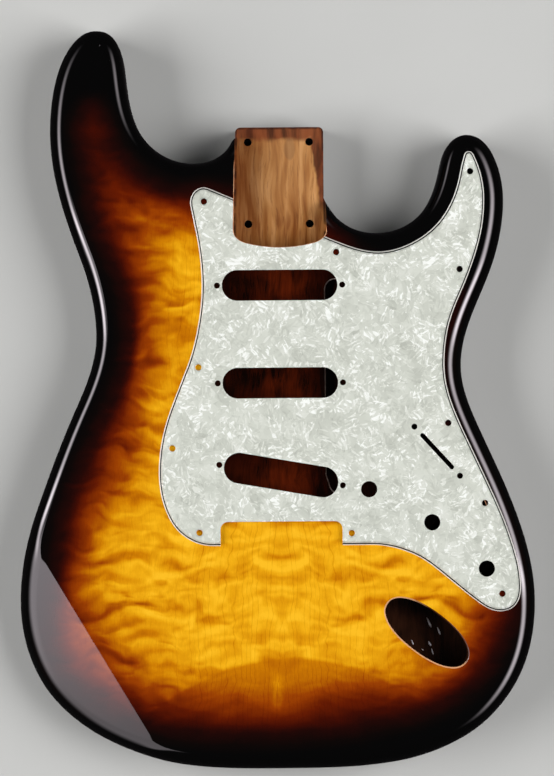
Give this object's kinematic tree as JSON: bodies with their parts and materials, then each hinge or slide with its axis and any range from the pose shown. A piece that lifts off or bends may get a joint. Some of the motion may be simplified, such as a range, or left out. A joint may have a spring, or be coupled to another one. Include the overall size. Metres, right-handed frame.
{
  "type": "electric guitar body",
  "caption": "Solid electric guitar body with two cutaways, routed for neck, pickups, controls and jack, and a laminated pickguard that lifts off.",
  "frame": {"origin": "on the flat back, below the centre line of neck and strings, halfway along the body's length", "axes": "+Z out of the face, +Y along the centre line towards the neck, +X towards the treble side"},
  "size_m": [0.3191, 0.4576, 0.0469],
  "materials": {
    "core": "dark stain under gloss lacquer, bare in the neck pocket",
    "top": "figured maple, amber to black sunburst under gloss lacquer",
    "white_ply": "satin cut edge",
    "black_ply": "satin cut edge",
    "pearl_ply": "polished white pearl"
  },
  "bodies": {
    "body": {"core_bass_half": "core", "core_treble_half": "core", "top_bass_leaf": "top", "top_treble_leaf": "top", "top_treble_upper_island": "top", "top_treble_lower_island": "top"},
    "pickguard": {"pickguard_white_ply": "white_ply", "pickguard_black_ply": "black_ply", "pickguard_pearl_ply": "pearl_ply"}
  },
  "joints": [
    {"name": "pickguard_lift", "type": "slide", "parent": "body", "child": "pickguard", "axis": [0, 0, 1], "range_m": [0, 0.06]}
  ]
}
